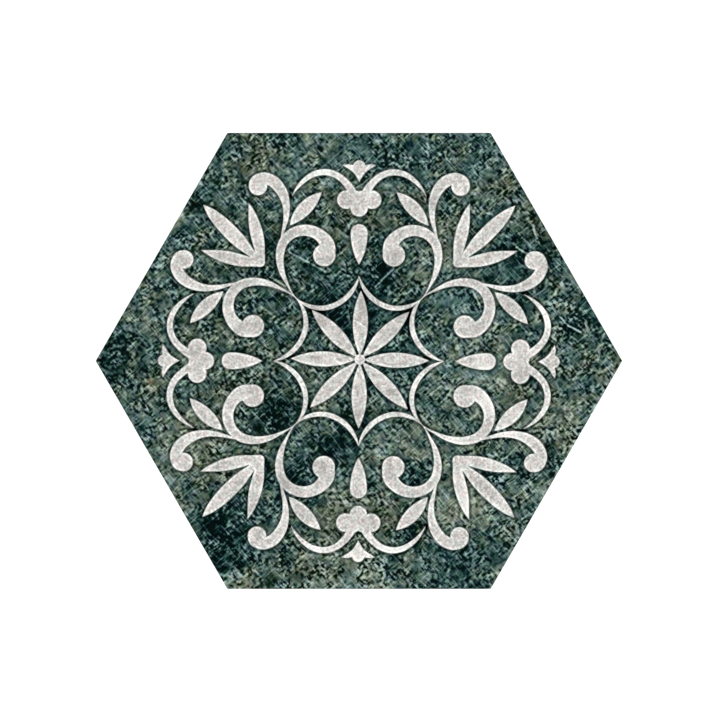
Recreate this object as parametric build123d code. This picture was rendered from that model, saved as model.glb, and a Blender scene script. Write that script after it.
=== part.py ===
"""A peel-and-stick vinyl floor tile: one regular hexagon, die-cut from a printed and laminated sheet.

The tile lies flat with its printed face up. The origin is the centre of its adhesive back, +X runs to a
corner, +Y to the middle of a straight edge, and +Z is up through the printed face.
"""

import os

from build123d import *

# Driving dimensions, in millimetres
SIDES = 6
ACROSS_FLATS = 200.0  # from a straight edge to the one opposite
THICKNESS = 2.0  # from the adhesive back to the printed face
CORNER_RADIUS = 1.0  # the cutting die's corners, seen from above
FACE_EDGE_RADIUS = 0.3  # the printed face rolls over where the die presses in


def cut_outline():
    """The shape that the die cuts: a regular polygon with a corner on +X and its corners rounded."""
    polygon = RegularPolygon(ACROSS_FLATS / 2, SIDES, major_radius=False)
    return fillet(polygon.vertices(), CORNER_RADIUS)


def vinyl_tile():
    """The sheet's full thickness inside the outline, with the printed face's edge rolled over."""
    blank = extrude(cut_outline(), THICKNESS)
    printed_face = blank.faces().sort_by(Axis.Z)[-1]
    return fillet(printed_face.edges(), FACE_EDGE_RADIUS)


os.makedirs("parts", exist_ok=True)
export_step(vinyl_tile(), "parts/vinyl_tile.step")
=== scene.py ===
"""Dresses a hexagonal peel-and-stick vinyl tile: a green marble print with pale scrollwork over it.

The tile lies on its back with the printed face up, +X towards a corner and +Y towards a straight edge.
Drawing tables are in millimetres on that face, x to the right and y up. Meshes are in metres.
"""

import functools
import math

import bpy
import numpy as np
from bpy.props import FloatProperty, FloatVectorProperty, PointerProperty
from mathutils.geometry import delaunay_2d_cdt
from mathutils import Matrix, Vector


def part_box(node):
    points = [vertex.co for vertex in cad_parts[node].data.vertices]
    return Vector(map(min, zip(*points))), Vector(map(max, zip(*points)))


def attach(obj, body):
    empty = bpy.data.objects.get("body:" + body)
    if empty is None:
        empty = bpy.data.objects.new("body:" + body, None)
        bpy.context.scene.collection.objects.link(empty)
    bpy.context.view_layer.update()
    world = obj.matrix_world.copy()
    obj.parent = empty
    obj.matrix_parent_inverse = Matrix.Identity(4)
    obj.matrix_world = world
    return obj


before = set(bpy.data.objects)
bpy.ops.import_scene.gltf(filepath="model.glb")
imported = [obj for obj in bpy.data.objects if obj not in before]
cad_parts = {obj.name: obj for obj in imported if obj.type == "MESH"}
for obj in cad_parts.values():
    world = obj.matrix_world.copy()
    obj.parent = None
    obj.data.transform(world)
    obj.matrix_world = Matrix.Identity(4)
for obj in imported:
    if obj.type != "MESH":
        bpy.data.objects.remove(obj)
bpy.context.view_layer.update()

bl_info = {
    "name": "Printed vinyl tile",
    "version": (1, 0, 0),
    "blender": (4, 5, 0),
    "location": "3D View > Sidebar > Vinyl Tile",
    "description": "Prints green marble and pale scrollwork on a hexagonal vinyl tile",
    "category": "Mesh",
}

MM = 0.001
TILE = "vinyl_tile"
BODY = "root"
TILE_LOW, TILE_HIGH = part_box(TILE)
FACE = TILE_HIGH.z / MM
WHITE_CODE = 255


def display(red, green, blue):
    """A colour written as 0 to 255 display codes, turned into the linear values that shaders work with.

    A code c, as a share of white, is c / 12.92 up to 0.04045 and ((c + 0.055) / 1.055)^2.4 above.
    """
    codes = np.array([red, green, blue]) / WHITE_CODE
    curved = ((codes + 0.055) / 1.055) ** 2.4
    return tuple(np.where(codes <= 0.04045, codes / 12.92, curved).tolist())


def ink(name, description, *codes):
    """A colour that the panel shows, from its display codes."""
    return FloatVectorProperty(name=name, description=description, subtype="COLOR", default=display(*codes))


# Drawing tables of the scrollwork, in millimetres, for the eighth between the +Y axis and the diagonal

# Pen strokes: stations of x, y and half the stroke's width
SCROLL = [
    (0.0, 37.2, 0.1),
    (2.9, 30.9, 0.9),
    (8.15, 25.85, 1.1),
    (15.12, 23.3, 1.08),
    (22.1, 24.2, 0.8),
    (27.7, 27.7, 0.2),
    (31.35, 33.55, 0.55),
    (33.9, 39.6, 1.25),
    (34.75, 46.0, 1.75),
    (33.15, 52.15, 2.05),
    (29.1, 56.05, 2.25),
    (23.4, 57.35, 2.45),
    (17.35, 55.2, 2.7),
    (14.05, 50.85, 3.35),
    (14.4, 47.3, 3.9),
]
BRANCH = [
    (34.4, 52.5, 0.3),
    (33.25, 57.3, 0.65),
    (32.1, 62.5, 1.1),
    (32.1, 68.7, 1.65),
    (34.05, 74.4, 2.3),
    (37.85, 78.75, 2.55),
    (42.2, 80.15, 2.5),
    (45.5, 78.1, 2.75),
    (46.3, 75.8, 2.0),
]
TENDRIL = [
    (2.9, 73.8, 1.85),
    (6.05, 78.35, 1.55),
    (10.05, 81.55, 1.4),
    (15.1, 82.85, 1.35),
    (20.2, 81.8, 1.2),
    (24.9, 78.5, 0.9),
    (29.4, 72.3, 0.05),
]
DROP_TAIL = [(0.0, 56.35, 3.7), (0.0, 51.0, 3.2), (0.0, 46.0, 1.8), (0.0, 42.4, 0.05)]
PALMETTE_MIDDLE = [
    (43.5, 43.5, 1.5),
    (46.6, 46.6, 1.6),
    (52.1, 52.1, 2.95),
    (57.3, 57.3, 3.2),
    (62.1, 62.1, 2.7),
    (66.1, 66.1, 1.4),
    (68.3, 68.3, 0.05),
]
PALMETTE_SIDE = [
    (43.1, 42.9, 1.9),
    (43.2, 46.0, 1.85),
    (43.9, 51.0, 2.5),
    (45.1, 56.5, 2.75),
    (46.3, 61.5, 2.2),
    (47.4, 65.9, 1.15),
    (48.5, 69.2, 0.05),
]

# Round ends and lobes: x, y and radius
SCROLL_BULB = (15.25, 46.45, 4.9)
BRANCH_BULB = (44.4, 76.65, 4.05)
TREFOIL_SIDE = (5.65, 70.8, 4.05)
TREFOIL_FOOT = (0.0, 67.2, 3.8)
DROP_HEAD = (0.0, 56.35, 3.7)
CROWN_DOME = (0.0, 85.3, 2.75)
PALMETTE_ROOT = (42.9, 42.9, 1.55)
ROSETTE_HUB = (0.0, 0.0, 2.3)

# Leaves between two arcs: tail, tip, greatest width, and how far the middle line bows to the left
LEAF = ((30.4, 59.5), (16.5, 74.0), 6.0, -0.4)
PETAL = ((0.0, 1.7), (0.0, 30.2), 6.6, 0.0)
PETALS = 8

# Half outlines that are mirrored over the +Y axis
TREFOIL_HEART = [(4.2, 67.4), (6.5, 74.2), (3.0, 76.2), (1.5, 74.9), (0.0, 74.4)]
CROWN_UNDERSIDE = [(0.0, 78.5), (1.0, 80.4), (2.3, 82.3), (4.0, 83.8), (5.9, 84.95), (7.3, 85.9)]
CROWN_TOP = [(7.3, 85.9), (5.0, 86.3), (2.8, 85.95), (0.0, 85.9)]

# How finely the print is cut up, in millimetres
STATION_STEP = 0.6
ROUND_POINTS = 48
LATTICE_STEP = 0.5
LATTICE_REACH = 1.75
KEYLINE_SPAN = 2 * LATTICE_STEP
FILM_SINK = 0.03
MERGE_WITHIN = 1e-5
POINTS_AT_ONCE = 2000


class PrintSizes(bpy.types.PropertyGroup):
    """How the two inks lie on the tile's face."""

    pale_lift: FloatProperty(
        name="Pale ink lift",
        description="How far the pale ink stands over the marble print",
        default=0.04 * MM,
        unit="LENGTH",
    )
    keyline_lift: FloatProperty(
        name="Keyline lift",
        description="How far the dark line round the scrollwork stands over the marble print",
        default=0.015 * MM,
        unit="LENGTH",
    )
    keyline_reach: FloatProperty(
        name="Keyline reach",
        description="How far the dark line fades out from the scrollwork's edge",
        default=1.6 * MM,
        unit="LENGTH",
    )
    print_turn: FloatProperty(
        name="Print turn",
        description="How far the scrollwork lies out of line with the tile",
        default=math.radians(-0.17),
        subtype="ANGLE",
        unit="ROTATION",
    )
    print_shift: FloatVectorProperty(
        name="Print shift",
        description="How far the scrollwork lies off the tile's centre",
        size=2,
        default=(-0.1 * MM, -0.13 * MM),
        unit="LENGTH",
    )
    rosette_turn: FloatProperty(
        name="Rosette turn",
        description="How far the rosette lies out of line with the tile",
        default=math.radians(-1.0),
        subtype="ANGLE",
        unit="ROTATION",
    )
    rosette_shift: FloatVectorProperty(
        name="Rosette shift",
        description="How far the rosette lies off the tile's centre",
        size=2,
        default=(0.34 * MM, 0.57 * MM),
        unit="LENGTH",
    )


class PrintColours(bpy.types.PropertyGroup):
    """The inks, the vinyl core under them and the release paper on the back."""

    marble_black: ink("Marble black", "Gaps between the crystals", 0, 11, 7)
    marble_deep: ink("Marble deep", "Dark clouds", 5, 34, 28)
    marble_shade: ink("Marble shade", "The shaded side of the crystals", 41, 58, 52)
    marble_green: ink("Marble green", "The body of the marble", 71, 88, 81)
    marble_light: ink("Marble light", "Crystal flecks", 119, 135, 127)
    marble_vein: ink("Marble vein", "Thin veins", 180, 198, 188)
    pale_ink: ink("Pale ink", "The scrollwork's body", 208, 205, 201)
    core: ink("Vinyl core", "The cut edge under the print", 92, 95, 92)
    paper: ink("Release paper", "The back", 222, 217, 205)


class StageSizes(bpy.types.PropertyGroup):
    """The camera and the light."""

    frame_width: FloatProperty(
        name="Frame width",
        description="Width of the picture on the tile's face",
        default=315.6 * MM,
        unit="LENGTH",
    )
    aim: FloatVectorProperty(
        name="Aim",
        description="The point of the face in the middle of the picture",
        size=2,
        default=(0.44 * MM, 0.39 * MM),
        unit="LENGTH",
    )
    lens: FloatProperty(name="Lens", description="Focal length in millimetres", default=120.0, unit="CAMERA")
    softbox_power: FloatProperty(
        name="Softbox power", description="Power of each softbox in watts", default=10.5, unit="POWER"
    )
    room_light: FloatProperty(
        name="Room light", description="Strength of the even light all round", default=0.1
    )


# Curves


def smooth_line(stations):
    """Points along a smooth line through every station.

    Between two stations the line is the cubic h00 a + h10 m_a + h01 b + h11 m_b, whose tangents m are slopes
    over the length of the chords. Every column is carried alike, so a third one can hold half the width.
    """
    points = np.asarray(stations, float)
    chord = np.hypot(*np.diff(points[:, :2], axis=0).T)
    knots = np.concatenate([[0.0], np.cumsum(chord)])
    slope = np.gradient(points, knots, axis=0, edge_order=2)
    reach = np.linspace(0.0, knots[-1], int(knots[-1] / STATION_STEP) + 2)
    span = np.clip(np.searchsorted(knots, reach, side="right") - 1, 0, len(chord) - 1)
    length = chord[span][:, None]
    u = (reach[:, None] - knots[span][:, None]) / length
    start = (2 * u**3 - 3 * u**2 + 1) * points[span] + (u**3 - 2 * u**2 + u) * length * slope[span]
    end = (3 * u**2 - 2 * u**3) * points[span + 1] + (u**3 - u**2) * length * slope[span + 1]
    return start + end


def pen_stroke(stations):
    """Outline of a stroke: the smooth line through its stations, set off by half the width to both sides."""
    line = smooth_line(stations)
    tangent = np.gradient(line[:, :2], axis=0)
    tangent /= np.hypot(*tangent.T)[:, None]
    normal = np.stack([-tangent[:, 1], tangent[:, 0]], axis=1)
    half_width = line[:, 2:]
    right = line[:, :2] - normal * half_width
    left = line[:, :2] + normal * half_width
    return np.concatenate([right, left[::-1]])


def round_end(x, y, radius):
    """Outline of a round end or lobe: x + r cos a, y + r sin a over a full turn."""
    angle = np.linspace(0.0, 2 * math.pi, ROUND_POINTS, endpoint=False)
    return np.stack([x + radius * np.cos(angle), y + radius * np.sin(angle)], axis=1)


def pointed_leaf(tail, tip, width, bow):
    """Outline of a leaf between two circular arcs from tail to tip.

    An arc of chord c and rise s has the radius R = (c^2 / 4 + s^2) / 2 s, and at the distance d from the
    middle it stands sqrt(R^2 - d^2) - (R - s) off its chord.
    """
    tail, tip = np.array(tail), np.array(tip)
    along = tip - tail
    chord = np.hypot(*along)
    side = np.array([-along[1], along[0]]) / chord
    share = np.linspace(0.0, 1.0, int(chord / STATION_STEP) + 2)[:, None]

    def arc(rise):
        radius = (chord**2 / 4 + rise**2) / (2 * rise)
        return np.sqrt(radius**2 - ((share - 0.5) * chord) ** 2) - (radius - rise)

    left = tail + share * along + arc(width / 2 + bow) * side
    right = tail + share * along - arc(width / 2 - bow) * side
    return np.concatenate([right, left[-2:0:-1]])


def mirrored(outline):
    """The outline on the other side of the +Y axis."""
    return outline * [-1.0, 1.0]


def swapped(outline):
    """The outline on the other side of the diagonal."""
    return outline[:, ::-1]


def turned(outline, angle):
    """The outline turned about the origin, counter-clockwise."""
    c, s = math.cos(angle), math.sin(angle)
    return outline @ np.array([[c, s], [-s, c]])


def four_ways(*outlines):
    """Every outline in each of the four quarters."""
    return [turned(outline, quarter * math.pi / 2) for outline in outlines for quarter in range(4)]


def eight_ways(*outlines):
    """Every outline and its mirror image in each of the four quarters."""
    return four_ways(*outlines, *map(mirrored, outlines))


def whole(half):
    """A closed outline from its right half, which runs from the +Y axis or up to it."""
    half = np.asarray(half)
    return np.concatenate([half, mirrored(half)[::-1]])


# Motifs of the scrollwork


def rosette():
    """Petals round a hub."""
    petal = pointed_leaf(*PETAL)
    petals = [turned(petal, k * 2 * math.pi / PETALS) for k in range(PETALS)]
    return [*petals, round_end(*ROSETTE_HUB)]


def scrolls():
    """S-scrolls with round ends that ring the rosette, each with a branch and a leaf."""
    strokes = [pen_stroke(SCROLL), round_end(*SCROLL_BULB), pen_stroke(BRANCH), round_end(*BRANCH_BULB)]
    return eight_ways(*strokes, pointed_leaf(*LEAF))


def fleurons():
    """Trefoils, from whose tops two tendrils run out to the branches."""
    lobes = four_ways(whole(TREFOIL_HEART), round_end(*TREFOIL_FOOT))
    return lobes + eight_ways(round_end(*TREFOIL_SIDE), pen_stroke(TENDRIL))


def crowns():
    """Small winged caps over the trefoils."""
    half = np.concatenate([smooth_line(CROWN_UNDERSIDE)[:-1], smooth_line(CROWN_TOP)])
    return four_ways(whole(half), round_end(*CROWN_DOME))


def drops():
    """Drops that point at the rosette."""
    return four_ways(round_end(*DROP_HEAD), pen_stroke(DROP_TAIL))


def palmettes():
    """Three leaves from one root on each diagonal."""
    side = pen_stroke(PALMETTE_SIDE)
    return four_ways(pen_stroke(PALMETTE_MIDDLE), side, swapped(side), round_end(*PALMETTE_ROOT))


MOTIFS = {
    "rosette": rosette,
    "scroll": scrolls,
    "fleuron": fleurons,
    "crown": crowns,
    "drop": drops,
    "palmette": palmettes,
}


# Flat prints from outlines


def counter_clockwise(outline):
    """The outline with its inside on the left: reversed if half the sum of x dy - y dx is negative."""
    x, y = outline.T
    area = np.sum(x * np.roll(y, -1) - y * np.roll(x, -1)) / 2
    return outline if area > 0 else outline[::-1]


def into_eighth(points):
    """Each point's image in the eighth between the +Y axis and the diagonal: |x| and |y| in rising order."""
    return np.sort(np.abs(points), axis=1)


def near_eighth(segments):
    """The segments whose middles lie in that eighth, or close enough to it to be a nearest one."""
    x, y = segments.mean(axis=1).T
    return segments[(x > -LATTICE_REACH) & (y > x - 2 * LATTICE_REACH)]


def distance_to(points, segments):
    """Each point's distance to the nearest segment: |p - a - u (b - a)| with u held between 0 and 1."""
    start = segments[:, 0]
    along = segments[:, 1] - start
    square = np.maximum((along**2).sum(axis=1), MERGE_WITHIN**2)

    def nearest(part):
        away = part[:, None] - start
        u = np.clip((away * along).sum(axis=2) / square, 0.0, 1.0)
        return np.sqrt(((away - u[..., None] * along) ** 2).sum(axis=2).min(axis=1))

    parts = np.array_split(points, len(points) // POINTS_AT_ONCE + 1)
    return np.concatenate([nearest(part) for part in parts])


def lattice_near(segments, furthest):
    """Points of a square lattice near a segment, worked out in one eighth and mirrored into the others."""
    axis = np.arange(0.0, furthest + LATTICE_REACH, LATTICE_STEP)
    points = np.stack(np.meshgrid(axis, axis), axis=2).reshape(-1, 2)
    points = points[points[:, 1] >= points[:, 0]]
    points = points[distance_to(points, near_eighth(segments)) < LATTICE_REACH]
    quarter = np.concatenate([points, swapped(points)])
    half = np.concatenate([quarter, mirrored(quarter)])
    return np.unique(np.concatenate([half, -half]), axis=0)


def edges_of(triangles):
    """The three directed edges of every triangle, with a number that two triangles share at a common edge."""
    directed = triangles[:, [0, 1, 1, 2, 2, 0]].reshape(-1, 2)
    numbers = np.unique(np.sort(directed, axis=1), axis=0, return_inverse=True)[1].reshape(-1)
    return directed, numbers


@functools.cache
def printed_area(motif):
    """Triangles over all the outlines of a motif and a little round them.

    Gives the points, the triangles, which triangles lie inside an outline, and each point's depth:
    its distance to the edge of the joined shape, positive inside. The motif is symmetric about the axes and
    the diagonals.
    """
    outlines = [counter_clockwise(outline) for outline in MOTIFS[motif]()]
    corners = np.concatenate(outlines)
    ends = np.cumsum([len(outline) for outline in outlines])
    loops = [list(range(end - len(outline), end)) for outline, end in zip(outlines, ends)]
    drawn = np.concatenate([np.stack([o, np.roll(o, -1, axis=0)], axis=1) for o in outlines])
    lattice = lattice_near(drawn, np.abs(corners).max())
    places = np.concatenate([corners, lattice])
    cut = delaunay_2d_cdt(places.tolist(), [], loops, 0, MERGE_WITHIN)
    points, triangles = np.array(cut[0]), np.array(cut[2])
    inside = np.fromiter(map(len, cut[5]), int) > 0
    directed, numbers = edges_of(triangles)
    sides = np.bincount(numbers, weights=np.repeat(inside, 3))
    edge = points[directed[np.repeat(inside, 3) & (sides[numbers] == 1)]]
    depth = distance_to(into_eighth(points), near_eighth(edge))
    within = np.bincount(triangles[inside].ravel(), minlength=len(points)) > 0
    return points, triangles, inside, np.where(within, depth, -depth)


def on_tile(motif, points):
    """A motif's points as printed: a little turned and off the centre, the rosette in its own way."""
    sizes = bpy.context.scene.tile_sizes
    apart = motif == "rosette"
    turn = sizes.rosette_turn if apart else sizes.print_turn
    shift = sizes.rosette_shift if apart else sizes.print_shift
    return turned(points, turn) + np.array(shift) / MM


def put_in_scene(name, data):
    """An object of its own for the data, in the scene."""
    thing = bpy.data.objects.new(name, data)
    bpy.context.collection.objects.link(thing)
    return thing


def film(name, points, triangles, depth, lift):
    """A closed film over the triangles: its top at the lift over the face, its underside sunk into the tile.

    Walls join the two along each edge that only one triangle has. The depth goes with the points as
    an attribute.
    """
    kept, numbers = np.unique(triangles, return_inverse=True)
    triangles = numbers.reshape(-1, 3)
    count = len(kept)
    flat = points[kept]
    top = np.column_stack([flat, np.full(count, FACE + lift / MM)])
    under = np.column_stack([flat, np.full(count, FACE - FILM_SINK)])
    directed, numbers = edges_of(triangles)
    rim = directed[np.bincount(numbers)[numbers] == 1]
    a, b = rim.T
    walls = np.concatenate([np.stack([a, a + count, b + count], axis=1), np.stack([a, b + count, b], axis=1)])
    faces = np.concatenate([triangles, triangles[:, ::-1] + count, walls])
    mesh = bpy.data.meshes.new(name)
    mesh.from_pydata(np.concatenate([top, under]) * MM, [], faces)
    mesh.attributes.new("edge_depth", "FLOAT", "POINT").data.foreach_set("value", np.tile(depth[kept], 2))
    mesh.update()
    if mesh.validate():
        raise RuntimeError(f"{name} has faulty faces")
    return put_in_scene(name, mesh)


# Shader maths

# Plain colours, the middle of every noise, and how much of its finer scales a grainy noise keeps
BLACK = (0.0, 0.0, 0.0, 1.0)
WHITE = (1.0, 1.0, 1.0, 1.0)
NOISE_MEAN = 0.5
GRAINY = 0.6


class Wire:
    """A socket of a node tree. Sums on it add Math nodes, and node() adds any other node."""

    def __init__(self, tree, socket):
        self.tree = tree
        self.socket = socket

    def node(self, kind, settings=None, sockets=None, output=0):
        """Adds a node, sets its settings, then links or sets its sockets, and gives one of its outputs."""
        made = self.tree.nodes.new(kind)
        for name, value in (settings or {}).items():
            if name == "stops":
                set_stops(made.color_ramp, value)
            else:
                setattr(made, name, value)
        for name, value in (sockets or {}).items():
            if isinstance(value, Wire):
                self.tree.links.new(value.socket, made.inputs[name])
            else:
                made.inputs[name].default_value = value
        return Wire(self.tree, made.outputs[output]) if made.outputs else None

    def math(self, operation, first, second):
        """Adds a Math node on two values."""
        return self.node("ShaderNodeMath", {"operation": operation}, {0: first, 1: second})

    def vector(self, operation, first, second, output=0):
        """Adds a Vector Math node on two vectors."""
        return self.node("ShaderNodeVectorMath", {"operation": operation}, {0: first, 1: second}, output)

    def __add__(self, other):
        return self.math("ADD", self, other)

    def __sub__(self, other):
        return self.math("SUBTRACT", self, other)

    def __rsub__(self, other):
        return self.math("SUBTRACT", other, self)

    def __mul__(self, other):
        return self.math("MULTIPLY", self, other)

    def __gt__(self, other):
        return self.math("GREATER_THAN", self, other)

    def __lt__(self, other):
        return self.math("LESS_THAN", self, other)

    __radd__ = __add__
    __rmul__ = __mul__


def set_stops(ramp, stops):
    """Gives a colour ramp its stops, as pairs of a place and a colour."""
    while len(ramp.elements) < len(stops):
        ramp.elements.new(1.0)
    for element, (place, colour) in zip(ramp.elements, stops):
        element.position = place
        element.color = (*colour, 1.0)


def empty_material(name):
    """A material with no nodes yet, and a loose wire to start them from."""
    material = bpy.data.materials.new(name)
    material.use_nodes = True
    material.node_tree.nodes.clear()
    return material, Wire(material.node_tree, None)


def new_material(name):
    """A material with only the piece's own coordinates in it, and these in millimetres."""
    material, loose = empty_material(name)
    own = loose.node("ShaderNodeTexCoord", output="Object")
    return material, own.node("ShaderNodeVectorMath", {"operation": "SCALE"}, {0: own, "Scale": 1 / MM})


def finish_material(colour, rough, relief):
    """Ends a material with its colour, how rough it is, and the height of its fine relief from 0 to 1."""
    bumps = {"Height": relief, "Strength": 1.0, "Distance": RELIEF_HEIGHT}
    slope = colour.node("ShaderNodeBump", None, bumps, "Normal")
    sockets = {"Base Color": colour, "Roughness": rough, "Specular IOR Level": GLOSS, "Normal": slope}
    shader = colour.node("ShaderNodeBsdfPrincipled", None, sockets, "BSDF")
    shader.node("ShaderNodeOutputMaterial", None, {"Surface": shader})


def noise(place, size, detail=2.0, roughness=0.5, output="Fac", dimensions="2D"):
    """Noise whose grains are about the given size, over the face or through the whole tile."""
    sockets = {"Vector": place, "Scale": 1 / size, "Detail": detail, "Roughness": roughness}
    return place.node("ShaderNodeTexNoise", {"noise_dimensions": dimensions}, sockets, output)


def swing(place, size, **look):
    """Noise about nothing, from -0.5 to 0.5."""
    return noise(place, size, **look) - NOISE_MEAN


def between(value, low, high, to_low=0.0, to_high=1.0, curve="SMOOTHSTEP"):
    """The value's place between two others, eased at both ends."""
    sockets = {"Value": value, "From Min": low, "From Max": high, "To Min": to_low, "To Max": to_high}
    return value.node("ShaderNodeMapRange", {"interpolation_type": curve}, sockets)


def mixed(share, first, second, blend="MIX"):
    """Two colours mixed by a share."""
    wire = next(value for value in (share, first, second) if isinstance(value, Wire))
    settings = {"data_type": "RGBA", "blend_type": blend}
    return wire.node("ShaderNodeMix", settings, {0: share, 6: first, 7: second}, output=2)


def opaque(colour):
    """A colour with nothing showing through it."""
    return (*colour, 1.0)


def shift_between(share, first, second):
    """Two shifts of hue, in display codes, mixed by a share."""
    sockets = {0: share, 4: np.array(first) / WHITE_CODE, 5: np.array(second) / WHITE_CODE}
    return share.node("ShaderNodeMix", {"data_type": "VECTOR"}, sockets, output=1)


def shifted(colour, shift):
    """A colour with a shift added to its display values, the linear ones to the power 1 / gamma."""
    shown = colour.node("ShaderNodeGamma", None, {"Color": colour, "Gamma": 1 / DISPLAY_GAMMA})
    held = shown.vector("MAXIMUM", shown.vector("ADD", shown, shift), NO_SHIFT)
    return held.node("ShaderNodeGamma", None, {"Color": held, "Gamma": DISPLAY_GAMMA})


# Marble

# How many radii from its middle a soft round place has faded out
BLOT_FADE = 1.5

# Clouds of the marble: x, y, radius in millimetres, and how much darker (below zero) or lighter
CLOUDS = [
    (75, 40, 6, 0.04), (-71, -69, 6, 0.03), (-106, 18, 6, -0.03), (31, 61, 5, 0.03),
    (-89.5, -29.5, 6, -0.03), (4.5, -25, 5, 0.03), (-52, 19.5, 6, -0.03), (17, 19.5, 5, -0.04),
    (-79.5, 63.5, 6, 0.04), (-30.5, 100, 6, -0.04), (34.5, -100, 6, -0.04),
    (61.5, -68.5, 6, -0.03), (53, -45, 6, 0.03), (-15, 23, 11, -0.16), (-2, 12, 12, -0.1),
    (6, 38, 10, -0.14), (18, 14, 9, -0.08), (10, -8, 10, -0.05), (-40, 47, 12, -0.09),
    (-24, 53, 11, -0.06), (-51.5, 20.5, 9, -0.1), (24, 63, 7, -0.12), (-37, -23, 12, -0.18),
    (-2, -27, 9, -0.15), (-12, -40, 10, -0.16), (-26, -54, 11, -0.13), (-41, -48, 7, -0.1),
    (-62, -72, 15, -0.18), (-61, -86, 9, -0.11), (-106, 0, 15, -0.07), (-71, 70, 6.5, -0.16),
    (68, 48, 15, -0.07), (86, 46, 9, -0.12), (101, 21, 9, -0.12), (92, 17, 5, -0.08),
    (70, 29, 9, -0.1), (75, 39, 5, 0.04), (10, 90, 8, -0.07), (40, 78, 7, -0.07),
    (21, -50, 8, -0.12), (23, -76, 9, -0.12), (48, -90, 11, -0.1), (55, -50, 7, -0.09),
    (83, -44, 8, -0.1), (34, 50, 14, 0.06), (50, 58, 6, -0.05), (32, 34, 9, 0.06),
    (50, -5, 16, 0.12), (56, 16, 11, 0.06), (49, -63, 9, 0.16), (37, -66, 12, 0.09),
    (-16, -16, 7, 0.14), (-75, 5, 7, 0.09), (-74, -36, 17, 0.08), (-55, 50, 7, 0.1),
    (-4, 84, 8, 0.03), (-24, 84, 20, 0.05), (51, 77, 8, 0.08), (-93, 20, 11, 0.04),
    (85, 25, 8, 0.07), (90, -28, 16, 0.07), (15, -36, 17, 0.06), (-10, -62, 12, 0.08),
    (-5, -92, 15, 0.08), (71, -71, 7, 0.03), (66, -79, 6, -0.03), (-32, 99, 8, -0.11),
    (-57, 92, 6, -0.05), (23, 24, 7, -0.14), (7, -10, 6, -0.12), (-68, 82, 6, 0.05),
    (-13, 99, 6, 0.05), (12, 3, 6, -0.06), (-13, -4, 7, -0.07), (-1, 30, 7, -0.12),
    (-65, 8, 6, -0.04), (-42, 35, 7, -0.09), (-95, -35, 6, -0.05), (-78, 22, 6, -0.04),
    (-41, 62, 6, -0.05), (-65, 28, 6, -0.04), (-15, 42, 6, -0.04), (60, 33, 6, -0.04),
    (-57, -98, 7, 0.09), (-49, -60, 6, -0.05), (-36, -99, 6, -0.04), (-77, -68, 8, 0.09),
    (-57, -50, 7, 0.12), (12, -73, 6, 0.04), (110, -9, 8, 0.1), (45, -41, 7, 0.12),
    (50, -74, 6, 0.04), (7, -98, 7, 0.08), (62, -20, 8, 0.08), (81, -60, 9, 0.1),
    (103, -1, 7, 0.05), (62, -93, 7, 0.09), (-58, -13, 6, 0.06), (96, 34, 7, 0.08),
    (-80, 62, 6, 0.08), (32, 1, 7, 0.06), (11, -58, 6, 0.06),
]

# Veins that stand out: both ends in millimetres, and how bright
VEINS = [
    (-30.3, 47.5, -14.5, 39.1, 0.4),
    (-49.9, 28.9, -36.7, 19.3, 0.35),
    (-38.6, 36.7, -32.4, 32.7, 0.65),
    (-52, 71.4, -49, 68.8, 0.5),
    (88.1, 19.3, 91.8, 15.3, 0.6),
    (91.9, 15.3, 97, 12.7, 1.1),
    (69, 49.7, 73.4, 47.1, 0.85),
    (76.4, 59.4, 77.1, 55.5, 0.6),
    (77.2, 55.5, 79.2, 51.5, 0.3),
    (7.5, 32.8, 15.4, 40.7, 0.55),
    (49.8, 30.7, 52.9, 24.5, 0.85),
    (27.5, 99.5, 32.3, 91.2, 0.15),
    (-1.7, 17.6, 2.8, 14.6, 0.45),
    (-10.7, 0.9, -6.5, -2.7, 0.6),
    (-2, 7.2, 3.2, 10.6, 0.4),
    (9.7, -10.8, 15.1, -12, 0.4),
]
VEIN_WIDTH = 0.8
FLANK_WIDTH = 3 * VEIN_WIDTH
VEIN_SHADE = 0.22

# Brown spots: x, y, radius in millimetres, and how brown
RUSTS = [
    (-91.4, -9.2, 2, 1),
    (85.3, -19.6, 1.5, 0.6),
    (14.1, 70.2, 1.5, 0.6),
    (-39.7, 71.2, 1.6, 0.8),
    (65, 78.3, 1.5, 0.6),
]
RUST_LIGHT = 0.1

# Places where the marble's grain is crisper (above zero) or calmer: x, y, radius in millimetres, and how much
CRISPS = [
    (-2, -79, 9, 0.5), (2, -91, 9, 0.4), (-18, -88, 8, 0.3), (13, -88, 7, 0.25),
    (27, -70, 8, 0.35), (2, -63, 7, 0.25), (60, -37, 9, 0.45), (50, -41, 7, 0.2),
    (90, 16, 9, 0.4), (85, 26, 6, 0.2), (95, -6, 8, 0.2), (-52, -9, 8, 0.35),
    (-42, -5, 7, 0.25), (-50, 5, 6, 0.2), (-18, 13, 7, 0.3), (19, -13, 7, 0.3),
    (-61, 52, 8, 0.3), (-53, 24, 8, 0.25), (68, -28, 7, 0.3), (60, -55, 8, 0.3),
    (71, -70, 9, 0.3), (93, -33, 9, 0.3), (20, -65, 6, 0.2), (-34, -96, 9, 0.35),
    (-63, -16, 8, 0.35), (-97, -25, 8, 0.25), (-9, -36, 9, -0.35), (-40, 56, 9, -0.35),
    (62, 36, 9, -0.35), (71, 40, 7, -0.2), (53, 40, 7, -0.15), (-11, 97, 9, -0.3),
    (-8, 87, 7, -0.15), (63, -3, 8, -0.3), (-70, -73, 9, -0.28), (40, -56, 8, -0.25),
    (-33, 80, 9, -0.25), (-81, -50, 8, -0.2), (-71, -50, 7, -0.15), (-18, 26, 7, -0.22),
    (-71, 70, 8, -0.22), (11, 75, 8, -0.25),
]

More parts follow.
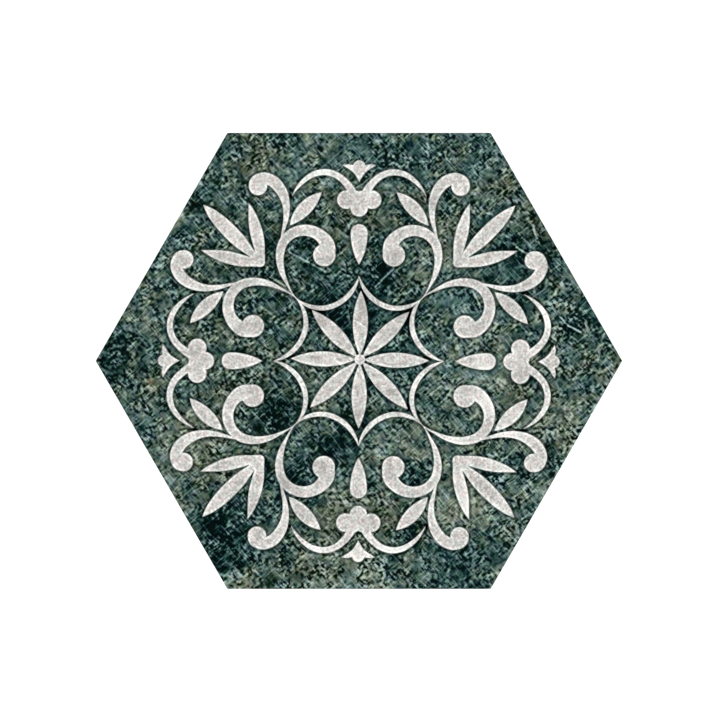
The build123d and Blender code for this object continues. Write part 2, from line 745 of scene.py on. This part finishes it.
# Places where the marble leans to olive (above zero) or to teal: x, y, radius in millimetres, and how much
TINTS = [
    (-42, 90, 12, 0.35), (10, 67, 10, 0.25), (-8, 55, 10, 0.25), (38, 53, 10, 0.15),
    (65, 80, 12, 0.15), (-46, 44, 14, 0.12), (-60, 6, 16, 0.12), (75, 0, 7, 0.35),
    (68, -12, 12, 0.18), (85, -26, 11, 0.18), (-91, -10, 7, 0.28), (-73, -28, 12, 0.25),
    (-65, -44, 14, 0.25), (-15, -20, 8, 0.15), (-10, -68, 14, 0.35), (0, -87, 14, 0.12),
    (44, -66, 12, 0.25), (-2, 30, 18, -0.2), (20, 4, 15, -0.25), (45, 30, 13, -0.22),
    (68, 45, 16, -0.22), (-85, 45, 12, -0.15), (-60, -76, 20, -0.25), (-20, -50, 17, -0.2),
    (24, -52, 10, -0.3), (60, -50, 10, -0.2), (46, -90, 18, -0.2), (14, 94, 22, -0.12),
    (97, 12, 17, -0.05), (78, 59, 12, 0.25), (0, 91, 9, -0.2), (50, 86, 10, -0.1),
    (-8, 69, 8, 0.3), (-38, 99, 9, -0.3), (-59, -17, 8, 0.28), (-22, -84, 9, 0.28),
    (-22, -99, 8, 0.2), (-77, -67, 8, 0.3), (-46, -96, 9, 0.28), (14, -68, 11, 0.3),
    (-20, 82, 7, -0.18), (48, -8, 8, -0.18), (26, -38, 8, 0.28), (27, 71, 8, 0.25),
    (63, 91, 8, -0.25), (47, 40, 7, 0.22), (-33, 80, 8, -0.22), (-46, -40, 7, 0.18),
    (62, -92, 7, 0.18), (-43, -9, 7, 0.18), (-70, 44, 8, 0.18),
]

# Shifts of the marble's hue, in display codes from 0 to 255
TEAL_SHIFT = (-11.0, 0.0, 4.5)
OLIVE_SHIFT = (5.0, 0.0, -7.0)
RUST_SHIFT = (16.0, -3.0, -10.0)
LEAF_SHIFT = (-5.0, 12.0, -7.0)
ASH_SHIFT = (5.0, -12.0, 7.0)
NO_SHIFT = (0.0, 0.0, 0.0)
DISPLAY_GAMMA = 2.2

# The marble's grain: sizes in millimetres, angles, and strengths as shares of white
MARBLE_LEVEL = 0.284
CLOUD_STRENGTH = 1.45
BROAD_SIZE = 14.0
BROAD_STRENGTH = 0.15
MIDDLE_SIZE = 6.0
MIDDLE_STRENGTH = 0.55
PATCH_SIZE = 3.0
PATCH_STRENGTH = 0.35
SLANTS = (math.radians(40), math.radians(-48))
LEAN_SIZE = 4.0
LEAN_RANGE = (0.4, 0.6)
LEAN_LEAST = 0.25
FLECK_SIZE = 1.2
FLECK_STRETCH = 2.0
FLECK_STRENGTH = 0.98
CREASE_SIZE = 1.8
CREASE_POWER = 4.0
GLINT_SIZE = 1.8
GLINT_RANGE = (0.3, 0.7)
CREASE_SWING = 1.0
CREASE_STRENGTH = 0.2
CREASE_LEVEL = 0.05
GAIN_SIZE = 7.0
CRISP_STRENGTH = 2.1
GAIN_LEAST = 0.2
GAIN_MOST = 1.9
GAIN_RANGE = (0.33, 0.67)
CUT_BLUR = 0.1
SPECK_SIZE = 1.2
SPECK_CUT = 0.7
SPECK_STRENGTH = 0.12
CRYSTAL_SIZE = 0.9
CRYSTAL_STRENGTH = 0.15
THREAD_SIZE = 0.6
THREAD_STRETCH = 18.0
THREAD_CUT = 0.7
THREAD_STRENGTH = 0.25
HUE_SIZE = 8.0
HUE_RANGE = (0.22, 0.92)
CLOUD_WARMTH = 0.8
TINGE_SIZE = 1.6
TINGE_STRENGTH = 0.3
CRYSTAL_HUE = 0.02
LEAF_SIZE = 4.0
LEAF_ROUGHNESS = 0.7
RUST_SIZE = 2.6
RUST_CUT = 0.68
RUST_BLUR = 0.15

# How far the patterns wander: the size of the noise that pushes them, and its reach, in millimetres
CLOUD_WANDER = (9.0, 9.0)
VEIN_WANDER = (3.0, 0.5)
SPOT_WANDER = (1.5, 1.0)
CRYSTAL_WANDER = (1.0, 0.6)
GRAIN_WANDER = (2.5, 0.2)
GAIN_WANDER = (4.0, 3.0)
THREAD_WANDER = (9.0, 2.0)

# Where each ink stands on the marble's scale from dark to light
MARBLE_STOPS = {
    "marble_black": 0.06,
    "marble_deep": 0.135,
    "marble_shade": 0.2,
    "marble_green": 0.32,
    "marble_light": 0.55,
    "marble_vein": 0.9,
}


def blots(place, table):
    """Soft round blots added up: each is strongest in its middle and fades smoothly out past its radius."""
    total = 0.0
    for x, y, radius, strength in table:
        away = place.vector("DISTANCE", place, (x, y, 0.0), "Value")
        total = between(away, 0.0, BLOT_FADE * radius, strength, 0.0) + total
    return total


def vein_sum(place):
    """How much the veins lighten each place: most on the segment, and a little below nothing beside it."""
    total = 0.0
    for x0, y0, x1, y1, bright in VEINS:
        along = np.array([x1 - x0, y1 - y0, 0.0])
        square = float(along @ along)
        away = place.vector("SUBTRACT", place, (x0, y0, 0.0))
        reach = place.vector("DOT_PRODUCT", away, along / square, "Value")
        held = place.node("ShaderNodeClamp", None, {"Value": reach})
        foot = place.node("ShaderNodeVectorMath", {"operation": "SCALE"}, {0: along, "Scale": held})
        off = place.vector("DISTANCE", away, foot, "Value")
        line = between(off, 0.0, VEIN_WIDTH, (1 + VEIN_SHADE) * bright, 0.0)
        flanks = between(off, 0.0, FLANK_WIDTH, VEIN_SHADE * bright, 0.0)
        total = line - flanks + total
    return total


def level(place):
    """The place with its height taken out, so that the print is the same at any depth of the film."""
    return place.vector("MULTIPLY", place, (1.0, 1.0, 0.0))


def wandering(place, size, reach):
    """The place pushed about by slow noise, so that what is drawn on it gets ragged edges."""
    push = noise(place, size, detail=3.0, roughness=GRAINY, output="Color")
    centred = push.vector("SUBTRACT", push, (NOISE_MEAN, NOISE_MEAN, NOISE_MEAN))
    scaled = push.vector("MULTIPLY", centred, (reach, reach, 0.0))
    return push.vector("ADD", place, scaled)


def slanted(place, angle, stretch):
    """The place turned and squeezed along its new x axis, so that noise on it draws dashes at that angle."""
    sockets = {"Vector": place, "Rotation": (0.0, 0.0, angle), "Scale": (stretch, 1.0, 1.0)}
    return place.node("ShaderNodeMapping", {"vector_type": "TEXTURE"}, sockets)


def crystals(place, size):
    """A shade from -0.5 to 0.5 for each crystal of a broken-up ground."""
    sockets = {"Vector": place, "Scale": 1 / size}
    shades = place.node("ShaderNodeTexVoronoi", {"voronoi_dimensions": "2D"}, sockets, "Color")
    return place.node("ShaderNodeSeparateColor", None, {"Color": shades}, "Red") - NOISE_MEAN


def creases(place, size):
    """Thin bright lines where a noise n passes its middle: 1 - 4 |n - 0.5|, not below 0, to a power."""
    off = swing(place, size, detail=0.0)
    fold = between(1 - 4 * off.math("ABSOLUTE", off, 0.0), 0.0, 1.0, curve="LINEAR")
    return fold.math("POWER", fold, CREASE_POWER)


def grain(face):
    """Short flecks with bright creases between them.

    In some patches the flecks of one slant lead and in some those of the other.
    """
    bent = wandering(face, *GRAIN_WANDER)
    lean = between(noise(face, LEAN_SIZE, detail=1.0), *LEAN_RANGE, LEAN_LEAST, 1 - LEAN_LEAST)
    sparkle = noise(face, GLINT_SIZE, roughness=GRAINY)
    glint = between(sparkle, *GLINT_RANGE, 1 - CREASE_SWING, 1 + CREASE_SWING, "LINEAR")
    both = []
    for slant in SLANTS:
        leaning = slanted(bent, slant, FLECK_STRETCH)
        flecks = swing(leaning, FLECK_SIZE, detail=0.0)
        both.append(FLECK_STRENGTH * flecks + CREASE_STRENGTH * (glint * creases(leaning, CREASE_SIZE)))
    rising, falling = both
    return rising * lean + falling * (1 - lean) - CREASE_LEVEL


def contrast(face):
    """How strong the grain is: crisp or calm in patches, both of noise and at the places in the table."""
    crisp = noise(wandering(face, *GAIN_WANDER), GAIN_SIZE)
    gain = between(crisp, *GAIN_RANGE, GAIN_LEAST, GAIN_MOST, "LINEAR")
    return gain * (1 + CRISP_STRENGTH * blots(face, CRISPS))


def specks(face):
    """Few small bright crystals: the highest crests of a fine noise."""
    return between(noise(face, SPECK_SIZE, detail=1.0), SPECK_CUT, SPECK_CUT + CUT_BLUR)


def threads(face):
    """Thin long veins on both slants: only the highest crests of a noise that is drawn out along them."""
    bent = wandering(face, *THREAD_WANDER)
    crests = (noise(slanted(bent, slant, THREAD_STRETCH), THREAD_SIZE, detail=0.0) for slant in SLANTS)
    rising, falling = (between(crest, THREAD_CUT, THREAD_CUT + CUT_BLUR) for crest in crests)
    return rising + falling


def marble(place):
    """The marble's colour: a ramp from black through green to pale, with its hue shifted from place to place.

    The shifts go to teal or to olive, and in some places to rust or to leaf green.
    """
    colours = bpy.context.scene.tile_colours
    face = level(place)
    ragged = wandering(face, *CLOUD_WANDER)
    shades = crystals(wandering(face, *CRYSTAL_WANDER), CRYSTAL_SIZE)
    patches = swing(ragged, PATCH_SIZE, roughness=GRAINY)
    middle = swing(ragged, MIDDLE_SIZE, roughness=GRAINY)
    broad = swing(ragged, BROAD_SIZE, detail=3.0)
    slow = CLOUD_STRENGTH * blots(ragged, CLOUDS) + BROAD_STRENGTH * broad + MIDDLE_STRENGTH * middle
    crisp = grain(face) + SPECK_STRENGTH * specks(face) + CRYSTAL_STRENGTH * shades
    fine = contrast(face) * crisp + PATCH_STRENGTH * patches
    veins = THREAD_STRENGTH * threads(face) + vein_sum(wandering(face, *VEIN_WANDER))
    spots = blots(wandering(face, *SPOT_WANDER), RUSTS)
    tone = MARBLE_LEVEL + slow + fine + veins + RUST_LIGHT * spots
    stops = [(stop, getattr(colours, name)) for name, stop in MARBLE_STOPS.items()]
    plain = tone.node("ShaderNodeValToRGB", {"stops": stops}, {"Fac": tone})
    tinge = swing(face, TINGE_SIZE, detail=1.0)
    hue = noise(ragged, HUE_SIZE) + TINGE_STRENGTH * tinge + CRYSTAL_HUE * shades
    warmth = blots(ragged, TINTS) + hue + CLOUD_WARMTH * slow
    tint = shift_between(between(warmth, *HUE_RANGE), TEAL_SHIFT, OLIVE_SHIFT)
    rust = between(noise(face, RUST_SIZE, detail=1.0), RUST_CUT, RUST_CUT + RUST_BLUR) + spots
    rusty = shift_between(rust, NO_SHIFT, RUST_SHIFT)
    leaves = noise(face, LEAF_SIZE, detail=4.0, roughness=LEAF_ROUGHNESS)
    leafy = shift_between(leaves, ASH_SHIFT, LEAF_SHIFT)
    return shifted(plain, tint.vector("ADD", tint.vector("ADD", tint, rusty), leafy))


# Finishes

# Gloss and relief of the vinyl: sizes in millimetres, the relief in metres
GLOSS = 0.1
SATIN = 0.3
SATIN_SWING = 0.06
SATIN_SIZE = 5.0
SATIN_RANGE = (0.3, 0.7)
PIT_SIZE = 1.6
PIT_SHARE = 0.7
GRIT_SIZE = 0.5
GRIT_SHARE = 0.3
RELIEF_HEIGHT = 0.012 * MM

# The stock under the print
PRINT_DEPTH = 0.26
PAPER_DEPTH = 0.12
CORE_SHADES = (0.8, 1.2)
CORE_ROUGHNESS = 0.6
PAPER_SHADES = (0.9, 1.04)
PAPER_ROUGHNESS = 0.8
FILLER_SIZE = 0.7
FIBRE_SIZE = 1.5
FIBRE_SLANT = math.radians(23)
FIBRE_STRETCH = 3.5

# Edges of the inks, as distances from the scrollwork's edge in millimetres
KEYLINE_FULL = 0.8
KEYLINE_STRENGTH = 0.55
RIM_FULL = 0.6
RIM_REACH = 1.45
FEATHER_REACH = 0.3
FEATHER_STRENGTH = 0.3
BLEED_STRENGTH = 0.08

# Places where the pale ink is lighter (above zero) or darker: x, y, radius in millimetres, and how much
PALE_CLOUDS = [
    (0, 26, 8, -0.14), (19, 19, 7, -0.12), (-18, 19, 7, -0.12), (-6, 6, 5, -0.07),
    (-1, -23, 6, -0.06), (25, -9, 5, 0.08), (16, 43, 6, -0.06), (32, 71, 6, -0.09),
    (73, 33, 5, -0.08), (82, 19, 7, 0.12), (55, -2, 5, 0.07), (57, -17, 7, 0.1),
    (69, -33, 6, 0.1), (44, -34, 6, 0.07), (34, -47, 5, 0.09), (46, -63, 8, 0.12),
    (15, -83, 6, 0.12), (0, -87, 5, 0.1), (-20, -82, 5, 0.1), (-46, -61, 5, -0.1),
    (-33, -54, 7, -0.12), (-18, -44, 6, -0.05), (-46, 44, 6, -0.05), (-34, 50, 6, -0.06),
    (-15, 83, 5, 0.1),
]

# Tints of the pale ink, that multiply its colour
NO_TINT = (1.0, 1.0, 1.0, 1.0)
RIM_TINT = (1.26, 1.30, 1.31, 1.0)
MINT_TINT = (0.96, 1.005, 0.995, 1.0)
ROSE_TINT = (1.035, 0.985, 0.985, 1.0)
PALE_VEIN_TINT = (1.45, 1.48, 1.47, 1.0)

# Mottling of the pale ink: the size in millimetres and the strength of each scale, and the shades they give
MOTTLES = ((1.1, 0.88), (2.4, 0.62), (10.0, 0.5))
MOTTLE_ROUGHNESS = 0.65
MOTTLE_RANGE = (-0.25, 0.25)
MOTTLE_SHADES = (0.6, 1.32)
PALE_CLOUD_STRENGTH = 1.7
BLUSH_SIZE = 3.0
BLUSH_RANGE = (0.35, 0.65)
PALE_THREADS = 0.4
PALE_VEINS = 3.0


def satin(face):
    """How rough the printed face is: satin, duller in some patches than in others."""
    patches = noise(face, SATIN_SIZE)
    return between(patches, *SATIN_RANGE, SATIN - SATIN_SWING, SATIN + SATIN_SWING, "LINEAR")


def emboss(face):
    """The height of the printed face: shallow pits with a fine grit over them."""
    return PIT_SHARE * noise(face, PIT_SIZE) + GRIT_SHARE * noise(face, GRIT_SIZE)


def shaded(share, colour, darkest, lightest):
    """A colour that goes with a share from a darker to a lighter one."""
    body = np.array(colour)
    return mixed(share, opaque(darkest * body), opaque(lightest * body))


def edge_depth(place):
    """How far inside the scrollwork's edge each place is, in millimetres, below zero outside."""
    return place.node("ShaderNodeAttribute", {"attribute_name": "edge_depth"}, None, "Fac")


def marble_material():
    """The tile's finish: marble on the face, grey vinyl at the cut edge, release paper on the back."""
    colours = bpy.context.scene.tile_colours
    material, place = new_material("marble_vinyl")
    face = level(place)
    height = place.node("ShaderNodeSeparateXYZ", None, {"Vector": place}, "Z")
    on_face = height > FACE - PRINT_DEPTH
    on_back = height < PAPER_DEPTH
    filler = noise(place, FILLER_SIZE, roughness=GRAINY, dimensions="3D")
    drawn_out = slanted(place, FIBRE_SLANT, FIBRE_STRETCH)
    fibre = noise(drawn_out, FIBRE_SIZE, detail=3.0, roughness=GRAINY, dimensions="3D")
    core = shaded(filler, colours.core, *CORE_SHADES)
    stock = mixed(on_back, core, shaded(fibre, colours.paper, *PAPER_SHADES))

    def by_side(printed, back, edge):
        return edge + on_face * (printed - edge) + on_back * (back - edge)

    colour = mixed(on_face, stock, marble(place))
    rough = by_side(satin(face), PAPER_ROUGHNESS, CORE_ROUGHNESS)
    finish_material(colour, rough, by_side(emboss(face), fibre, filler))
    return material


def keyline_material():
    """Marble that darkens towards the scrollwork's edge, where a trace of pale ink has bled out."""
    colours = bpy.context.scene.tile_colours
    reach = bpy.context.scene.tile_sizes.keyline_reach / MM
    material, place = new_material("marble_keyline")
    face = level(place)
    depth = edge_depth(place)
    shade = between(depth, -reach, -KEYLINE_FULL, 0.0, KEYLINE_STRENGTH)
    dark = mixed(shade, marble(place), opaque(colours.marble_black))
    bleed = between(depth, -FEATHER_REACH, 0.0, 0.0, BLEED_STRENGTH)
    colour = mixed(bleed, dark, opaque(colours.pale_ink))
    finish_material(colour, satin(face), emboss(face))
    return material


def pale_material():
    """Pale ink with a bright edge, mottled and veined a little by the marble under it."""
    colours = bpy.context.scene.tile_colours
    material, place = new_material("pale_ink")
    face = level(place)
    depth = edge_depth(place)
    mottle = PALE_CLOUD_STRENGTH * blots(face, PALE_CLOUDS)
    for size, strength in MOTTLES:
        mottle = mottle + strength * swing(face, size, roughness=MOTTLE_ROUGHNESS)
    inked = shaded(between(mottle, *MOTTLE_RANGE, curve="LINEAR"), colours.pale_ink, *MOTTLE_SHADES)
    blush = mixed(between(noise(face, BLUSH_SIZE), *BLUSH_RANGE), MINT_TINT, ROSE_TINT)
    rim = mixed(between(depth, RIM_FULL, RIM_REACH), RIM_TINT, NO_TINT)
    veins = PALE_THREADS * threads(face) + PALE_VEINS * vein_sum(wandering(face, *VEIN_WANDER))
    veined = mixed(veins, NO_TINT, PALE_VEIN_TINT)
    for tint in (blush, rim, veined):
        inked = mixed(1.0, inked, tint, "MULTIPLY")
    feather = between(depth, 0.0, FEATHER_REACH, FEATHER_STRENGTH, 0.0)
    colour = mixed(feather, inked, opaque(colours.marble_green))
    finish_material(colour, satin(face), emboss(face))
    return material


@functools.cache
def material_named(make):
    """The material that a function makes, made once."""
    return make()


# Pieces


def print_motif(motif):
    """Lays a motif's pale ink on the tile."""
    points, triangles, inside, depth = printed_area(motif)
    lift = bpy.context.scene.tile_sizes.pale_lift
    piece = film(f"{motif}_print", on_tile(motif, points), triangles[inside], depth, lift)
    piece.data.materials.append(material_named(pale_material))
    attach(piece, BODY)
    return {"FINISHED"}


class VINYLTILE_OT_finish_stock(bpy.types.Operator):
    """Give the tile its marble face, cut edge and back"""

    bl_idname = "vinyl_tile.finish_stock"
    bl_label = "Finish the tile"

    def execute(self, context):
        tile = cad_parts[TILE]
        tile.data.materials.clear()
        tile.data.materials.append(material_named(marble_material))
        return {"FINISHED"}


class VINYLTILE_OT_print_rosette(bpy.types.Operator):
    """Print the rosette of eight petals"""

    bl_idname = "vinyl_tile.print_rosette"
    bl_label = "Print the rosette"

    def execute(self, context):
        return print_motif("rosette")


class VINYLTILE_OT_print_scrolls(bpy.types.Operator):
    """Print the scrolls that ring the rosette, with their branches and leaves"""

    bl_idname = "vinyl_tile.print_scrolls"
    bl_label = "Print the scrolls"

    def execute(self, context):
        return print_motif("scroll")


class VINYLTILE_OT_print_fleurons(bpy.types.Operator):
    """Print the trefoils with their tendrils"""

    bl_idname = "vinyl_tile.print_fleurons"
    bl_label = "Print the fleurons"

    def execute(self, context):
        return print_motif("fleuron")


class VINYLTILE_OT_print_crowns(bpy.types.Operator):
    """Print the small crowns over the fleurons"""

    bl_idname = "vinyl_tile.print_crowns"
    bl_label = "Print the crowns"

    def execute(self, context):
        return print_motif("crown")


class VINYLTILE_OT_print_drops(bpy.types.Operator):
    """Print the drops between the scrolls"""

    bl_idname = "vinyl_tile.print_drops"
    bl_label = "Print the drops"

    def execute(self, context):
        return print_motif("drop")


class VINYLTILE_OT_print_palmettes(bpy.types.Operator):
    """Print the three-leaved palmettes on the diagonals"""

    bl_idname = "vinyl_tile.print_palmettes"
    bl_label = "Print the palmettes"

    def execute(self, context):
        return print_motif("palmette")


class VINYLTILE_OT_print_keyline(bpy.types.Operator):
    """Print the dark line that sets the scrollwork off from the marble"""

    bl_idname = "vinyl_tile.print_keyline"
    bl_label = "Print the keyline"

    def execute(self, context):
        sizes = context.scene.tile_sizes
        all_points, all_triangles, all_depths = [], [], []
        count = 0
        for motif in MOTIFS:
            points, triangles, inside, depth = printed_area(motif)
            small = np.ptp(points[triangles], axis=1).max(axis=1) < KEYLINE_SPAN
            beside = ~inside & small & (depth[triangles].min(axis=1) > -sizes.keyline_reach / MM)
            all_points.append(on_tile(motif, points))
            all_triangles.append(triangles[beside] + count)
            all_depths.append(depth)
            count += len(points)
        points, triangles = np.concatenate(all_points), np.concatenate(all_triangles)
        piece = film("keyline_print", points, triangles, np.concatenate(all_depths), sizes.keyline_lift)
        piece.data.materials.append(material_named(keyline_material))
        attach(piece, BODY)
        return {"FINISHED"}


# Stage

FLOOR_SIZE = 8.0
FLOOR_GAP = 0.05 * MM
FLOOR_WHITE = (0.85, 0.85, 0.85, 1.0)
FLOOR_ROUGHNESS = 0.9
FLOOR_LIFT = 0.6
SOFTBOX_SIZE = 0.9
SOFTBOX_AWAY = 1.6
SOFTBOX_HEIGHT = math.radians(38)
SOFTBOX_START = math.radians(45)
SOFTBOXES = 4
SENSOR_WIDTH = 36.0


def floor_material():
    """A floor that is lifted to white for the camera and in reflections, but not as light on the tile."""
    material, path = empty_material("white_floor")
    rays = ("Is Camera Ray", "Is Glossy Ray", "Is Transmission Ray")
    seen, glossy, clear = (path.node("ShaderNodeLightPath", output=ray) for ray in rays)
    sockets = {
        "Base Color": FLOOR_WHITE,
        "Roughness": FLOOR_ROUGHNESS,
        "Specular IOR Level": 0.0,
        "Emission Color": mixed(seen + glossy + clear, BLACK, WHITE),
        "Emission Strength": FLOOR_LIFT,
    }
    shader = path.node("ShaderNodeBsdfPrincipled", None, sockets, "BSDF")
    shader.node("ShaderNodeOutputMaterial", None, {"Surface": shader})
    return material


def lay_floor():
    """Lays a square floor just under the tile."""
    half = FLOOR_SIZE / 2
    corners = [(-half, -half), (half, -half), (half, half), (-half, half)]
    mesh = bpy.data.meshes.new("floor")
    mesh.from_pydata([(x, y, TILE_LOW.z - FLOOR_GAP) for x, y in corners], [], [(0, 1, 2, 3)])
    mesh.materials.append(floor_material())
    floor = put_in_scene("floor", mesh)


def hang_softboxes(power):
    """Hangs like softboxes evenly round the tile, each turned towards it."""
    for index in range(SOFTBOXES):
        around = SOFTBOX_START + index * 2 * math.pi / SOFTBOXES
        lamp = bpy.data.lights.new(f"softbox_{index + 1}", "AREA")
        lamp.size = SOFTBOX_SIZE
        lamp.energy = power
        box = put_in_scene(lamp.name, lamp)
        out = SOFTBOX_AWAY * math.cos(SOFTBOX_HEIGHT)
        up = SOFTBOX_AWAY * math.sin(SOFTBOX_HEIGHT)
        box.location = (out * math.cos(around), out * math.sin(around), up)
        box.rotation_euler = (math.pi / 2 - SOFTBOX_HEIGHT, 0.0, around + math.pi / 2)


def set_camera(stage):
    """Sets the camera straight above the tile, as far off as the frame's width on the face needs."""
    camera = bpy.data.cameras.new("camera")
    camera.lens = stage.lens
    camera.sensor_width = SENSOR_WIDTH
    away = stage.frame_width * camera.lens / camera.sensor_width
    view = put_in_scene("camera", camera)
    view.location = (stage.aim[0], stage.aim[1], TILE_HIGH.z + away)
    bpy.context.scene.camera = view


class VINYLTILE_OT_set_stage(bpy.types.Operator):
    """Lay the white floor, hang the softboxes and set the camera straight above the tile"""

    bl_idname = "vinyl_tile.set_stage"
    bl_label = "Set the stage"

    def execute(self, context):
        scene = context.scene
        scene.view_settings.view_transform = "Standard"
        world = bpy.data.worlds.new("room")
        world.use_nodes = True
        background = world.node_tree.nodes["Background"]
        background.inputs["Color"].default_value = WHITE
        background.inputs["Strength"].default_value = scene.tile_stage.room_light
        scene.world = world
        lay_floor()
        hang_softboxes(scene.tile_stage.softbox_power)
        set_camera(scene.tile_stage)
        return {"FINISHED"}


class VINYLTILE_PT_panel(bpy.types.Panel):
    """Lists the tile's sizes and steps"""

    bl_idname = "VINYLTILE_PT_panel"
    bl_label = "Vinyl Tile"
    bl_space_type = "VIEW_3D"
    bl_region_type = "UI"
    bl_category = "Vinyl Tile"

    def draw(self, context):
        for group in (context.scene.tile_sizes, context.scene.tile_colours, context.scene.tile_stage):
            box = self.layout.box()
            for name in group.__annotations__:
                box.prop(group, name)
        for step in STEPS:
            self.layout.operator(step.bl_idname)


SETTINGS = {"tile_sizes": PrintSizes, "tile_colours": PrintColours, "tile_stage": StageSizes}
STEPS = (
    VINYLTILE_OT_finish_stock,
    VINYLTILE_OT_print_rosette,
    VINYLTILE_OT_print_scrolls,
    VINYLTILE_OT_print_fleurons,
    VINYLTILE_OT_print_crowns,
    VINYLTILE_OT_print_drops,
    VINYLTILE_OT_print_palmettes,
    VINYLTILE_OT_print_keyline,
    VINYLTILE_OT_set_stage,
)


def register():
    for name, group in SETTINGS.items():
        bpy.utils.register_class(group)
        setattr(bpy.types.Scene, name, PointerProperty(type=group))
    for step in (*STEPS, VINYLTILE_PT_panel):
        bpy.utils.register_class(step)


def unregister():
    for step in (VINYLTILE_PT_panel, *reversed(STEPS)):
        bpy.utils.unregister_class(step)
    for name, group in SETTINGS.items():
        delattr(bpy.types.Scene, name)
        bpy.utils.unregister_class(group)


def main():
    register()
    steps = bpy.ops.vinyl_tile
    steps.finish_stock()
    steps.print_rosette()
    steps.print_scrolls()
    steps.print_fleurons()
    steps.print_crowns()
    steps.print_drops()
    steps.print_palmettes()
    steps.print_keyline()
    steps.set_stage()


if __name__ == "__main__":
    main()
